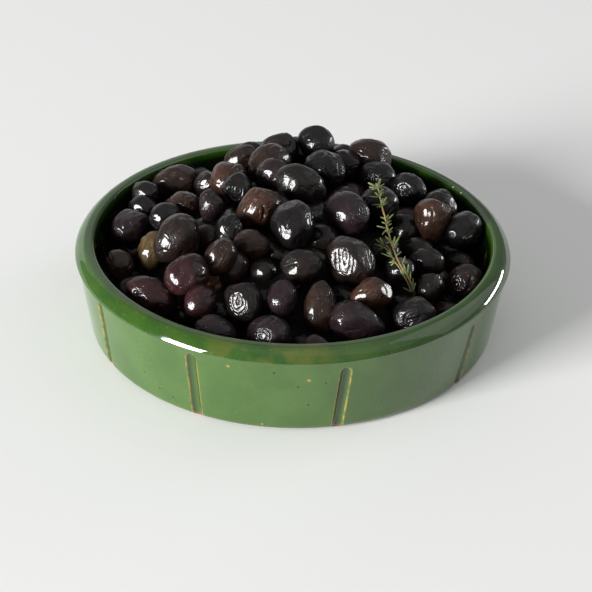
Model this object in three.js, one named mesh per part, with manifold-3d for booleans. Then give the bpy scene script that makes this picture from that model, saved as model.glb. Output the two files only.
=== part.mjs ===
// A dish of olives: a round glazed earthenware dish with a rolled lip and ten cut grooves,
// a heap of olives, and a sprig of thyme lying on the heap.
// Millimetres, +Z up. The origin is the middle of the dish's foot, and -Y is the front.

import * as THREE from 'three';
import { mergeVertices } from 'three/addons/utils/BufferGeometryUtils.js';
import Module from 'manifold-3d';

const wasm = await Module();
wasm.setup();

// ---------- driving dimensions ----------

const CLEARANCE = 0.35; // between two sub-parts that rest on each other

const DISH = {
  height: 43.4,
  lipRadius: 100, // the widest point of the rolled lip
  lipOuterRoll: 4.6, // how far the lip rolls outward from its crest
  lipOuterDrop: 5.4, // and how far down to its widest point
  lipTuck: 8, // degrees that the roll goes on below its widest point
  lipInnerRoll: 5,
  lipInnerDrop: 7,
  creaseRadius: 98.9, // the crease below the lip, where the wall starts
  creaseHeight: 36.6,
  footRadius: 90.6,
  footRound: { out: 4.2, up: 4.3 },
  innerRadius: 90, // the inside of the wall, just below the lip
  innerFootRadius: 86.5,
  floorThickness: 7,
  cove: 14, // the round between the inner wall and the floor
  recess: { radius: 80, slope: 1.5, depth: 1.2 }, // the hollow of the foot
  sides: 48,
};

const GROOVE = {
  width: 4.8,
  depth: 1.5,
  low: -3, // it runs out through the foot
};

// The grooves are cut by hand. Each has its place round the dish in degrees from the front, the
// height of its top, and how far in degrees its top leans round the dish.
const GROOVES = [
  [-57.5, 36.4, 1], [-24.4, 35.6, -0.4], [13, 34.4, 1.4], [52, 33, 2.4], [88, 34.6, 0.8],
  [125, 35.8, -0.6], [161, 34, 1.2], [198, 35.2, 0.4], [233, 34.2, 1.8], [267, 35.6, -0.8],
];

// The heap is laid out as it is seen from in front of the dish, so that every olive is where
// that view has it: the eye looks down by `tilt` through a square window of 592 steps.
const EYE = {
  aim: new THREE.Vector3(1.88, 0, 8.36),
  distance: 686.9,
  tilt: 32.12,
  roll: 1.39,
  steps: 1450, // window steps to one unit of slope
  middle: 296,
};

// The middles of the upper olives lie about on this dome.
const HEAP = {
  edge: 34,
  rise: 20,
  radius: 80,
  back: 8, // how far behind the dish's middle its top is
  sunk: 7, // how much deeper the lower layer lies
};

const OLIVE = {
  plump: 1.22, // the least length for each unit of thickness
  taper: 0.1, // one end is a little narrower
  softness: 1, // how far two olives press into each other
  facetLoss: { upper: 1.05, lower: 1.15 }, // makes up for what flat facets cut off
};

// How olives that lie into each other come apart, a little in each round.
const SETTLE = {
  rounds: 200,
  share: 0.3, // of their overlap, for each of the two
  step: 1.5, // the most that one moves for its neighbours in a round
  wallStep: 3, // and for the wall
  pull: 0.03, // how much of the way back to the dome it is drawn
  reach: 36, // olives further apart than this don't meet
  steepest: 0.25, // a sight line closer to the wall's own slope doesn't lead away from it
};

// Where along a sight line the dish can be.
const SIGHT = { nearest: 560, farthest: 760, tries: 400 };

// Olives of the lower layer, which show in the gaps. Each row has the middle's place across and
// down the window, the length and thickness in window steps, and the turn of the length in
// degrees, anticlockwise from level.
const LOWER_OLIVES = [
  [298, 151, 30, 28, 0], [251, 153, 30, 26, 0], [343, 158, 30, 28, 0], [202, 181, 30, 28, 0],
  [146, 194, 30, 28, 0], [440, 202, 30, 28, 0], [345, 200, 32, 30, 0], [259, 192, 30, 28, 0],
  [201, 231, 30, 28, 0], [209, 238, 32, 28, 0], [403, 230, 38, 34, 0], [322, 238, 34, 30, 0],
  [446, 250, 34, 30, 0], [384, 254, 36, 34, 0], [417, 252, 34, 30, 0], [460, 266, 32, 30, 0],
  [262, 272, 34, 32, 0], [215, 285, 28, 26, 90], [343, 299, 32, 30, 0], [399, 306, 30, 28, 0],
  [447, 313, 30, 26, 0], [218, 312, 32, 28, 0], [180, 316, 28, 26, 0], [302, 346, 32, 28, 0],
];

// Olives of the upper layer, from the back of the dish to the front.
const UPPER_OLIVES = [
  [317, 143, 40, 34, -30], [279, 150, 42, 34, 15], [369, 157, 48, 38, -20], [242, 160, 38, 30, 20],
  [345, 165, 36, 32, 0], [174, 183, 50, 34, 20], [209, 184, 30, 28, 0], [269, 166, 46, 43, 45],
  [228, 179, 38, 36, 40], [274, 174, 35, 31, 0], [326, 171, 44, 41, -30], [377, 179, 40, 37, 0],
  [409, 190, 38, 35, -20], [441, 207, 38, 30, -40], [144, 209, 32, 28, 0], [185, 206, 33, 31, 0],
  [238, 190, 37, 31, -75], [300, 185, 54, 39, -20], [211, 206, 34, 26, 90], [165, 218, 33, 31, 20],
  [258, 209, 50, 39, 40], [380, 206, 42, 40, 0], [347, 214, 49, 44, -30], [432, 222, 48, 35, 85],
  [469, 230, 40, 36, 30], [130, 228, 42, 37, 35], [293, 225, 50, 46, 90], [229, 229, 32, 29, 90],
  [153, 252, 42, 32, 70], [177, 240, 56, 44, 50], [252, 245, 38, 32, 0], [427, 263, 38, 32, 0],
  [351, 262, 57, 47, -50], [302, 267, 45, 37, 0], [400, 271, 32, 30, 0], [233, 268, 36, 30, 60],
  [120, 264.5, 36, 30, -55], [220, 257, 43, 33, 60], [464, 281, 40, 32, 45], [188, 274.5, 48, 42, 40],
  [430, 287, 32, 29, 60], [371, 295, 44, 34, 20], [151, 297, 58, 40, -35], [243.5, 302.5, 45, 39, -70],
  [200, 302, 36, 32, 50], [282, 299, 40, 33, 90], [321, 307, 56, 36, 90], [413, 317, 50, 40, 15],
  [318, 347, 36, 26, 0], [358, 323, 58, 40, -15], [269.5, 337, 46, 45, 0], [216, 333, 46, 34, -20],
];

// The olives that fill what that view can't see stand on a jittered honeycomb.
const FILL = {
  pitch: 18.5,
  jitter: 3,
  reach: 83,
  thickness: [14, 17.5],
  plump: [1.2, 1.4],
  slant: 0.3,
  sink: 20, // how far below the dome one may be pushed
  sinkStep: 0.5,
  wallGap: 1,
  wallShift: 10, // how far one may be moved in from the wall
  squeeze: 2,
  outline: [[0, 0], [0, 0.8], [-0.6, 0.5], [0.6, 0.5]], // places in units of half its thickness
  seed: 20,
};

const CORE = {
  radius: 72,
  below: 9.5, // under the dome
  foot: 8, // how much narrower it stands
  steps: 4,
  sides: 24,
};

// The sprig: two stems and their leaves, all as window steps across and down.
const STEMS = [
  {
    radius: 0.62,
    points: [
      [378, 188], [380, 197], [382, 207], [385, 217], [386.5, 225], [389, 234], [391, 242],
      [394, 250], [397, 258], [401, 266], [406, 273], [410, 281], [413.5, 291],
    ],
  },
  {
    radius: 0.55,
    points: [[377, 240.5], [383, 246], [388, 251], [392, 256], [395, 262], [399, 267], [403, 274],
      [407, 281], [411, 291.5]],
  },
];

// Each leaf runs from its foot on a stem to its tip.
const LEAVES = [
  [378, 188, 368, 182.5, 2.6], [377.5, 189, 369, 187, 1.8], [378, 187.5, 380.5, 178.5, 2.8],
  [378, 188, 384.5, 183.5, 1.2], [379.5, 192.5, 384, 188.8, 1.6], [379.5, 195, 384, 191.8, 1.6],
  [379, 196, 374.5, 191.8, 1.4], [379.5, 197.3, 367.5, 196.3, 1.5], [381, 205, 383, 198, 1.7],
  [381.3, 205.3, 386.8, 197, 2.2], [381.5, 206, 387, 202.5, 1.6], [380.5, 204.5, 371.5, 204.8, 1.6],
  [381, 205.5, 376, 207.5, 1.4], [386, 219.5, 388.5, 214, 1.5], [387, 220.5, 393.5, 214, 1.5],
  [386.5, 223, 391.5, 220.5, 1.3], [386.5, 226.5, 392, 223.5, 1.3], [385.5, 219, 380.5, 217, 1.3],
  [386.5, 224, 381.5, 222, 1.4], [387, 228.5, 376.5, 226, 1.5], [388, 232, 393, 227, 1.3],
  [388.5, 233, 392.5, 231, 1.3], [387, 229, 382, 235, 1.4], [393, 246.5, 395, 236, 1.7],
  [393.5, 247, 400.8, 234.3, 1.8], [393.5, 247, 398.5, 243.5, 1.5], [391, 242, 396, 240.5, 1.3],
  [390.5, 241.5, 385, 236, 1.4], [384, 246.5, 380, 237.5, 1.6], [382.5, 245.5, 376, 239, 1.5],
  [384, 247.5, 374, 244, 1.5], [390.5, 241.5, 385.5, 243.5, 1.3], [391, 251, 386, 245, 1.5],
  [392, 253.5, 386, 249, 1.5], [392.5, 256.5, 386.5, 252, 1.4], [392.5, 257.5, 380.5, 253, 1.3],
  [396, 256, 401.5, 251.5, 1.4], [394.5, 262, 389, 262.5, 1.3], [395, 262.5, 390.5, 265.5, 1.3],
  [401.5, 266.5, 405.2, 256, 1.3], [407.5, 275.5, 408.5, 264, 1.8], [406, 274, 403.5, 264, 1.8],
  [404, 275, 402, 268, 1.7], [404, 276, 400, 270.5, 1.4], [410, 281, 410.5, 271, 1.7],
  [412.5, 287, 413, 278, 1.4], [413.5, 290, 415.5, 282.5, 1.2], [411, 292, 403, 287.5, 1.2],
];

const SPRIG = {
  smoothRounds: 60,
  slack: 0.15, // how far each stem sags between what carries it
  samples: 12,
  sides: 5,
  leastLeaf: 1.5, // narrower leaves are too fine for a solid
  leafThickness: 0.5,
  leafWave: 0.35,
  // along each leaf: the share of its length, of its half width, and of its wave
  leafStations: [[-0.06, 0.35, 0], [0.3, 1, 1], [0.7, 0.8, -0.5]],
  tipDrop: 0.6,
};

// ---------- solids ----------

function toSolid(geometry) {
  const bare = geometry.clone();
  bare.deleteAttribute('normal');
  bare.deleteAttribute('uv');
  const merged = mergeVertices(bare, 1e-4);
  const corners = merged.index.array;
  const triVerts = [];
  for (let i = 0; i < corners.length; i += 3) {
    const [a, b, c] = corners.slice(i, i + 3);
    if (a !== b && b !== c && c !== a) triVerts.push(a, b, c);
  }
  return new wasm.Manifold(new wasm.Mesh({
    numProp: 3,
    vertProperties: Float32Array.from(merged.attributes.position.array),
    triVerts: Uint32Array.from(triVerts),
  }));
}

function toGeometry(solid) {
  const { vertProperties, triVerts } = solid.getMesh();
  const geometry = new THREE.BufferGeometry();
  geometry.setAttribute('position', new THREE.BufferAttribute(Float32Array.from(vertProperties), 3));
  geometry.setIndex(new THREE.BufferAttribute(Uint32Array.from(triVerts), 1));
  geometry.computeVertexNormals();
  return geometry;
}

function joined(solids) {
  return solids.reduce((whole, solid) => whole.add(solid));
}

// The biggest body of a solid: loose scraps go, and so do the skins of sealed hollows.
function largest(solid) {
  return solid.decompose().reduce((best, body) => (body.volume() > best.volume() ? body : best));
}

// A quarter turn or less of an ellipse, from one angle to another in degrees.
function arc(x, y, radiusX, radiusY, from, to, steps) {
  return Array.from({ length: steps + 1 }, (_, i) => {
    const angle = THREE.MathUtils.degToRad(from + ((to - from) * i) / steps);
    return new THREE.Vector2(x + radiusX * Math.cos(angle), y + radiusY * Math.sin(angle));
  });
}

// A profile of radius and height, turned round the Z axis.
function revolved(profile, sides = DISH.sides) {
  return new THREE.LatheGeometry(profile, sides).rotateX(Math.PI / 2);
}

// ---------- the dish ----------

function innerRadiusAt(height) {
  const lipStart = DISH.height - DISH.lipInnerDrop;
  const coveTop = DISH.floorThickness + DISH.cove;
  const share = THREE.MathUtils.clamp((height - coveTop) / (lipStart - coveTop), 0, 1);
  return THREE.MathUtils.lerp(DISH.innerFootRadius, DISH.innerRadius, share);
}

// The inside of the dish from the lip's crest down to the floor's middle, `gap` off its surface.
function insideProfile(gap) {
  const crest = DISH.innerRadius + DISH.lipInnerRoll;
  const lipStart = DISH.height - DISH.lipInnerDrop;
  const { cove, floorThickness, innerFootRadius, lipInnerRoll, lipInnerDrop } = DISH;
  return [
    ...arc(crest, lipStart, lipInnerRoll + gap, lipInnerDrop + gap, 90, 180, 3),
    ...arc(innerFootRadius - cove, floorThickness + cove, cove - gap, cove - gap, 0, -90, 3),
    new THREE.Vector2(0, floorThickness + gap),
  ];
}

function dishBody() {
  const { recess, footRound, footRadius, creaseRadius, creaseHeight } = DISH;
  const crest = DISH.lipRadius - DISH.lipOuterRoll;
  const widest = DISH.height - DISH.lipOuterDrop;
  return toSolid(revolved([
    new THREE.Vector2(0, recess.depth),
    new THREE.Vector2(recess.radius, recess.depth),
    new THREE.Vector2(recess.radius + recess.slope, 0),
    ...arc(footRadius, footRound.up, footRound.out, footRound.up, -90, 0, 2),
    new THREE.Vector2(creaseRadius, creaseHeight),
    ...arc(crest, widest, DISH.lipOuterRoll, DISH.lipOuterDrop, -DISH.lipTuck, 90, 5),
    ...insideProfile(0).slice(1),
  ]));
}

// A round-ended cutter that lies along the wall and bites into it by the groove's depth.
function grooveCutter([place, top, lean]) {
  const radius = (GROOVE.width ** 2 / 4 + GROOVE.depth ** 2) / (2 * GROOVE.depth);
  const wallFoot = DISH.footRadius + DISH.footRound.out;
  const flare = (DISH.creaseRadius - wallFoot) / (DISH.creaseHeight - DISH.footRound.up);
  const wallAt = (height) => wallFoot + flare * (height - DISH.footRound.up);
  const axisAt = (height, turn) => {
    const angle = THREE.MathUtils.degToRad(place + turn);
    const out = wallAt(height) + radius - GROOVE.depth;
    return new THREE.Vector3(out * Math.sin(angle), -out * Math.cos(angle), height);
  };
  const low = axisAt(GROOVE.low, -lean / 2);
  const high = axisAt(top - radius, lean / 2);
  const along = high.clone().sub(low);
  const cutter = new THREE.CapsuleGeometry(radius, along.length(), 2, 10);
  const turn = new THREE.Quaternion().setFromUnitVectors(new THREE.Vector3(0, 1, 0), along.normalize());
  cutter.applyQuaternion(turn);
  cutter.translate(...low.add(high).multiplyScalar(0.5).toArray());
  return toSolid(cutter);
}

function dish() {
  return GROOVES.reduce((body, groove) => body.subtract(grooveCutter(groove)), dishBody());
}

// ---------- the eye and its sight lines ----------

const tilt = THREE.MathUtils.degToRad(EYE.tilt);
const roll = THREE.MathUtils.degToRad(EYE.roll);
const ahead = new THREE.Vector3(0, Math.cos(tilt), -Math.sin(tilt));
const level = new THREE.Vector3(1, 0, 0);
const upright = new THREE.Vector3(0, Math.sin(tilt), Math.cos(tilt));
const across = level.clone().multiplyScalar(Math.cos(roll)).addScaledVector(upright, Math.sin(roll));
const upward = upright.clone().multiplyScalar(Math.cos(roll)).addScaledVector(level, -Math.sin(roll));
const eye = EYE.aim.clone().addScaledVector(ahead, -EYE.distance);

// The sight line through a place in the window: one unit of it is one millimetre of depth.
function sightLine(stepsAcross, stepsDown) {
  return ahead.clone()
    .addScaledVector(across, (stepsAcross - EYE.middle) / EYE.steps)
    .addScaledVector(upward, (EYE.middle - stepsDown) / EYE.steps);
}

function pointAt(sight, depth) {
  return eye.clone().addScaledVector(sight, depth);
}

// ---------- the olives ----------

function domeAt(x, y) {
  const share = (x ** 2 + (y - HEAP.back) ** 2) / HEAP.radius ** 2;
  return HEAP.edge + HEAP.rise * Math.max(0, 1 - share);
}

// Where a sight line comes down to the dome, less `sunk`, or where it passes closest above it.
function restingDepth(sight, sunk) {
  let best = SIGHT.nearest;
  let least = Infinity;
  for (let i = 0; i <= SIGHT.tries; i += 1) {
    const depth = THREE.MathUtils.lerp(SIGHT.nearest, SIGHT.farthest, i / SIGHT.tries);
    const point = pointAt(sight, depth);
    const above = point.z - domeAt(point.x, point.y) + sunk;
    if (above < 0) return depth;
    if (above < least) {
      least = above;
      best = depth;
    }
  }
  return best;
}

// An olive seen in the window. One that looks short is turned towards the eye, near end down.
function seenOlive([stepsAcross, stepsDown, long, short, turn], sunk) {
  const sight = sightLine(stepsAcross, stepsDown);
  const angle = THREE.MathUtils.degToRad(turn);
  const axis = across.clone().multiplyScalar(Math.cos(angle)).addScaledVector(upward, Math.sin(angle));
  if (axis.dot(upward) > 0) axis.negate();
  const looks = long / short;
  const plump = Math.max(OLIVE.plump, looks);
  const flat = THREE.MathUtils.clamp((looks ** 2 - 1) / (plump ** 2 - 1), 0, 1);
  axis.multiplyScalar(Math.sqrt(flat));
  axis.addScaledVector(sight.clone().normalize(), -Math.sqrt(1 - flat)).normalize();
  const rest = restingDepth(sight, sunk);
  const layer = sunk > 0 ? 'lower' : 'upper';
  return { sight, axis, plump, rest, depth: rest, halfSteps: short / 2, layer };
}

function place(olive) {
  olive.middle = pointAt(olive.sight, olive.depth);
  olive.halfThickness = (olive.halfSteps * olive.depth) / EYE.steps;
}

// How far the olive's skin is from its middle in one direction.
function reachOf(olive, direction) {
  const along = direction.dot(olive.axis) ** 2;
  const halfLength = olive.halfThickness * olive.plump;
  return 1 / Math.sqrt(along / halfLength ** 2 + (1 - along) / olive.halfThickness ** 2);
}

function overlap(one, other) {
  const between = one.middle.clone().sub(other.middle);
  const distance = between.length();
  if (distance > SETTLE.reach) return -distance;
  between.divideScalar(distance);
  return reachOf(one, between) + reachOf(other, between) - distance;
}

// How far the olive is into the wall or the lip's round, and the way out of the dish there.
function wallPress(olive) {
  const { x, y, z } = olive.middle;
  const radius = Math.hypot(x, y);
  const outward = new THREE.Vector3(x / radius, y / radius, 0);
  const reach = reachOf(olive, outward) + CLEARANCE;
  const lipMiddle = DISH.height - DISH.lipInnerRoll;
  if (z <= lipMiddle) return { outward, press: radius + reach - innerRadiusAt(z) };
  const crest = DISH.innerRadius + DISH.lipInnerRoll;
  return { outward, press: DISH.lipInnerRoll + reach - Math.hypot(crest - radius, z - lipMiddle) };
}

// Olives that press too far into each other part along their sight lines, the nearer one towards
// the eye, while each is drawn back to the dome and kept inside the dish.
function settle(olives) {
  olives.forEach(place);
  for (let round = 0; round < SETTLE.rounds; round += 1) {
    const push = olives.map(() => 0);
    for (let near = 1; near < olives.length; near += 1) {
      for (let far = 0; far < near; far += 1) {
        const squeeze = overlap(olives[near], olives[far]) - OLIVE.softness;
        if (squeeze > 0) {
          push[near] -= SETTLE.share * squeeze;
          push[far] += SETTLE.share * squeeze;
        }
      }
    }
    olives.forEach((olive, i) => {
      olive.depth += THREE.MathUtils.clamp(push[i], -SETTLE.step, SETTLE.step);
      olive.depth += SETTLE.pull * (olive.rest - olive.depth);
      place(olive);
      const { outward, press } = wallPress(olive);
      const slope = olive.sight.dot(outward);
      if (press > 0 && Math.abs(slope) > SETTLE.steepest) {
        olive.depth -= THREE.MathUtils.clamp(press / slope, -SETTLE.wallStep, SETTLE.wallStep);
        place(olive);
      }
    });
  }
  olives.forEach((olive) => {
    const { outward, press } = wallPress(olive);
    if (press > 0) olive.middle.addScaledVector(outward, -press);
  });
}

// A repeatable random number from 0 to 1, by the multiplier and modulus of Park and Miller.
function seededRandom(seed) {
  const multiplier = 16807;
  const modulus = 2 ** 31 - 1;
  let state = seed;
  return () => {
    state = (state * multiplier) % modulus;
    return state / modulus;
  };
}

// Where a line from the eye first meets an olive's skin, or Infinity.
function meets(olive, sight) {
  const squash = (vector) => {
    const along = vector.dot(olive.axis);
    const round = vector.clone().addScaledVector(olive.axis, -along).divideScalar(olive.halfThickness);
    return round.addScaledVector(olive.axis, along / (olive.halfThickness * olive.plump));
  };
  const start = squash(eye.clone().sub(olive.middle));
  const way = squash(sight);
  const half = start.dot(way);
  const room = half ** 2 - way.lengthSq() * (start.lengthSq() - 1);
  return room < 0 ? Infinity : (-half - Math.sqrt(room)) / way.lengthSq();
}

function firstMeeting(olives, sight) {
  return Math.min(...olives.map((olive) => meets(olive, sight)));
}

function sightTo(point) {
  const line = point.clone().sub(eye);
  return line.divideScalar(line.dot(ahead));
}

// Whether the dish's front lip keeps the eye from seeing a point inside the dish.
function behindLip(point) {
  const line = point.clone().sub(eye);
  const share = (DISH.height - eye.z) / line.z;
  if (share > 1) return false;
  const crossing = eye.clone().addScaledVector(line, share);
  return Math.hypot(crossing.x, crossing.y) > DISH.innerRadius + DISH.lipInnerRoll;
}

// Whether an olive would stand in front of listed ones, tried at places round its outline.
function hides(olive, seen) {
  return FILL.outline.some(([right, up]) => {
    const spot = olive.middle.clone();
    spot.addScaledVector(across, right * olive.halfThickness);
    spot.addScaledVector(upward, up * olive.halfThickness);
    const sight = sightTo(spot);
    const first = firstMeeting(seen, sight);
    return first < Infinity && meets(olive, sight) < first;
  });
}

// The olives that the view doesn't list. Each goes down from the dome until it has room. One that
// the eye can see lies as low as the lower layer, and in front of no listed olive.
function unlistedOlives(seen) {
  const random = seededRandom(FILL.seed);
  const between = ([low, high]) => low + (high - low) * random();
  const olives = [...seen];
  const rowPitch = FILL.pitch * Math.sin(Math.PI / 3);
  const rows = Math.ceil(FILL.reach / rowPitch);
  const columns = Math.ceil(FILL.reach / FILL.pitch) + 1;
  for (let row = -rows; row <= rows; row += 1) {
    for (let column = -columns; column <= columns; column += 1) {
      const x = (column + (row % 2) / 2) * FILL.pitch + FILL.jitter * (random() - 0.5);
      const y = row * rowPitch + FILL.jitter * (random() - 0.5);
      const turn = random() * Math.PI;
      const rise = FILL.slant * (random() - 0.5);
      const olive = {
        halfThickness: between(FILL.thickness) / 2,
        plump: between(FILL.plump),
        axis: new THREE.Vector3(Math.cos(turn), Math.sin(turn), rise).normalize(),
        layer: 'lower',
      };
      for (let sink = 0; sink <= FILL.sink; sink += FILL.sinkStep) {
        olive.middle = new THREE.Vector3(x, y, domeAt(x, y) - sink);
        const { outward, press } = wallPress(olive);
        const shift = Math.max(0, press + FILL.wallGap);
        olive.middle.addScaledVector(outward, -shift);
        const top = olive.middle.clone().setZ(olive.middle.z + olive.halfThickness);
        const blocked = shift > FILL.wallShift
          || olives.some((other) => overlap(olive, other) > FILL.squeeze)
          || (!behindLip(top) && (sink < HEAP.sunk || hides(olive, seen)));
        if (!blocked) {
          olives.push(olive);
          break;
        }
      }
    }
  }
  return olives.slice(seen.length);
}

// One olive's solid: a faceted egg, `grow` thicker all round. The lower ones have fewer sides.
function oliveSolid(olive, grow = 0) {
  const egg = olive.layer === 'upper'
    ? new THREE.SphereGeometry(OLIVE.facetLoss.upper, 8, 5).rotateX(Math.PI / 2)
    : new THREE.IcosahedronGeometry(OLIVE.facetLoss.lower);
  const spot = egg.attributes.position;
  for (let i = 0; i < spot.count; i += 1) {
    const narrowing = 1 - OLIVE.taper * spot.getZ(i);
    spot.setXY(i, spot.getX(i) * narrowing, spot.getY(i) * narrowing);
  }
  const thick = olive.halfThickness + grow;
  egg.scale(thick, thick, olive.halfThickness * olive.plump + grow);
  const turn = new THREE.Quaternion().setFromUnitVectors(new THREE.Vector3(0, 0, 1), olive.axis);
  egg.applyQuaternion(turn);
  egg.translate(...olive.middle.toArray());
  return toSolid(egg);
}

// The body of the heap that all the olives are fused to.
function core() {
  const foot = DISH.floorThickness + CLEARANCE;
  const crown = Array.from({ length: CORE.steps + 1 }, (_, i) => {
    const radius = (CORE.radius * (CORE.steps - i)) / CORE.steps;
    return new THREE.Vector2(radius, domeAt(radius, HEAP.back) - CORE.below);
  });
  return toSolid(revolved([
    new THREE.Vector2(0, foot),
    new THREE.Vector2(CORE.radius - CORE.foot, foot),
    ...crown,
  ], CORE.sides).translate(0, HEAP.back / 2, 0));
}

// The space that the heap may fill: the inside of the dish and all above it.
function roomForHeap() {
  const inside = insideProfile(CLEARANCE);
  const above = DISH.height + DISH.lipRadius;
  return toSolid(revolved([
    ...inside.reverse(),
    new THREE.Vector2(DISH.innerRadius + DISH.lipInnerRoll, above),
    new THREE.Vector2(0, above),
  ]));
}

const seenOlives = [
  ...LOWER_OLIVES.map((row) => seenOlive(row, HEAP.sunk)),
  ...UPPER_OLIVES.map((row) => seenOlive(row, 0)),
];
settle(seenOlives);
const allOlives = [...seenOlives, ...unlistedOlives(seenOlives)];

function heap() {
  const solids = allOlives.map((olive) => oliveSolid(olive));
  return largest(joined([core(), ...solids]).intersect(roomForHeap()));
}

// ---------- the thyme ----------

// A stem's run of points: it lies on what the eye sees below it and bridges the gaps.
function stemRun({ points, radius }) {
  const route = new THREE.SplineCurve(points.map(([x, y]) => new THREE.Vector2(x, y)));
  const sights = route.getPoints(SPRIG.samples).map(({ x, y }) => sightLine(x, y));
  const lift = radius + CLEARANCE;
  const limits = sights.map((sight) => {
    const bed = Math.min(firstMeeting(allOlives, sight), restingDepth(sight, 0));
    return bed - lift;
  });
  const depths = [...limits];
  for (let round = 0; round < SPRIG.smoothRounds; round += 1) {
    for (let i = 1; i < depths.length - 1; i += 1) {
      depths[i] = Math.min(limits[i], (depths[i - 1] + depths[i + 1]) / 2 + SPRIG.slack);
    }
  }
  return sights.map((sight, i) => pointAt(sight, depths[i]));
}

function stemSolid(run, radius) {
  const section = new THREE.Shape(
    Array.from({ length: SPRIG.sides }, (_, i) => {
      const angle = (2 * Math.PI * i) / SPRIG.sides;
      return new THREE.Vector2(radius * Math.cos(angle), radius * Math.sin(angle));
    }),
  );
  return toSolid(new THREE.ExtrudeGeometry(section, {
    steps: SPRIG.samples,
    extrudePath: new THREE.CatmullRomCurve3(run),
  }));
}

// The depth of the stem that is nearest to a sight line, as the eye sees them.
function depthNear(runs, sight) {
  let best = Infinity;
  let depth = 0;
  runs.flat().forEach((spot) => {
    const apart = sightTo(spot).sub(sight).lengthSq();
    if (apart < best) {
      best = apart;
      depth = spot.clone().sub(eye).dot(ahead);
    }
  });
  return depth;
}

// A leaf: a thin wavy blade whose two faces are split into triangles alike.
function leafSolid([footAcross, footDown, tipAcross, tipDown, width], runs) {
  const footSight = sightLine(footAcross, footDown);
  const tipSight = sightLine(tipAcross, tipDown);
  const footDepth = depthNear(runs, footSight);
  const foot = pointAt(footSight, footDepth);
  const tipLimit = firstMeeting(allOlives, tipSight) - CLEARANCE - SPRIG.leafThickness;
  const tip = pointAt(tipSight, Math.min(tipLimit, footDepth + SPRIG.tipDrop));
  const along = tip.clone().sub(foot);
  const face = ahead.clone().negate();
  const side = new THREE.Vector3().crossVectors(face, along).normalize();
  const over = new THREE.Vector3().crossVectors(along, side).normalize();
  const halfWidth = (width * EYE.distance) / EYE.steps / 2;
  const corners = [];
  SPRIG.leafStations.forEach(([share, broad, wave]) => {
    [1, -1].forEach((hand) => {
      const edge = foot.clone().addScaledVector(along, share);
      edge.addScaledVector(side, hand * broad * halfWidth);
      edge.addScaledVector(over, hand * wave * SPRIG.leafWave);
      corners.push(edge.clone().addScaledVector(over, SPRIG.leafThickness / 2));
      corners.push(edge.clone().addScaledVector(over, -SPRIG.leafThickness / 2));
    });
  });
  corners.push(tip);
  // Each station has four corners, and the last corner of all is the tip.
  const faces = [0, 3, 2, 0, 1, 3]; // the foot's end
  const last = corners.length - 1;
  [0, 4].forEach((near) => {
    const far = near + 4;
    faces.push(near, far + 2, far, near, near + 2, far + 2); // the upper face
    faces.push(near + 1, far + 1, far + 3, near + 1, far + 3, near + 3); // the lower face
    faces.push(near, far + 1, near + 1, near, far, far + 1); // one edge
    faces.push(near + 2, near + 3, far + 3, near + 2, far + 3, far + 2); // the other edge
  });
  faces.push(8, 10, last, 9, last, 11, 8, last, 9, 10, 11, last); // the tip
  const geometry = new THREE.BufferGeometry();
  const places = corners.flatMap((corner) => corner.toArray());
  geometry.setAttribute('position', new THREE.Float32BufferAttribute(places, 3));
  geometry.setIndex(faces);
  return toSolid(geometry);
}

function sprig() {
  const runs = STEMS.map(stemRun);
  const stems = runs.map((run, i) => stemSolid(run, STEMS[i].radius));
  const broad = LEAVES.filter(([, , , , width]) => width >= SPRIG.leastLeaf);
  const leaves = broad.map((leaf) => leafSolid(leaf, runs));
  const whole = joined([...stems, ...leaves]);
  const under = allOlives.filter((olive) => {
    const { min, max } = whole.boundingBox();
    const box = new THREE.Box3(new THREE.Vector3(...min), new THREE.Vector3(...max));
    return box.distanceToPoint(olive.middle) < olive.halfThickness * olive.plump + CLEARANCE;
  });
  return largest(whole.subtract(joined(under.map((olive) => oliveSolid(olive, CLEARANCE)))));
}

// ---------- the object ----------

function node(name, solid, material) {
  const mesh = new THREE.Mesh(toGeometry(solid), new THREE.MeshStandardMaterial(material));
  mesh.name = name;
  return mesh;
}

const dishOfOlives = new THREE.Group();
dishOfOlives.name = 'dish_of_olives';
dishOfOlives.add(
  node('dish', dish(), { color: 0x5f7f42, roughness: 0.12, metalness: 0 }),
  node('olives', heap(), { color: 0x2a2022, roughness: 0.2, metalness: 0 }),
  node('thyme_sprig', sprig(), { color: 0x7d8f4a, roughness: 0.6, metalness: 0 }),
);

export default dishOfOlives;
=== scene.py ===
"""The looks of the dish of olives: glaze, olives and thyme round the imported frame, in metres."""

import itertools
import math
from types import SimpleNamespace as Sizes

import bmesh
import bpy
import numpy as np
from mathutils import Matrix, Vector


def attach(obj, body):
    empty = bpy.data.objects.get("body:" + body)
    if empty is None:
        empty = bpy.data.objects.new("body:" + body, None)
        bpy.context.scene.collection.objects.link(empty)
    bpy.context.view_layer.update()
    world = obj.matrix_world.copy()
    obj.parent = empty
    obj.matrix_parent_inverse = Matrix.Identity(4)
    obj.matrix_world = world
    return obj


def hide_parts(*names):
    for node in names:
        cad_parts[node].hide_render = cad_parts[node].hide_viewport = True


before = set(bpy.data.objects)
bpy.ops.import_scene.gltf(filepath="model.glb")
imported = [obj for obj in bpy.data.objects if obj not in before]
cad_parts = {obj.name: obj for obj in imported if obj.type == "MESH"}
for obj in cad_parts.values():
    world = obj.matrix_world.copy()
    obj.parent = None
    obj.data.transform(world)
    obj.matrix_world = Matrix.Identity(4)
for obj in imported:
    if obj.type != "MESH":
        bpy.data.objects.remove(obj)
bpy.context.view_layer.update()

# ---------- sizes, in millimetres like the model's own ----------

MM = 0.001
CLEARANCE = 0.35
FAR = 99.0  # farther than anything that is measured on the dish or an olive

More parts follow.
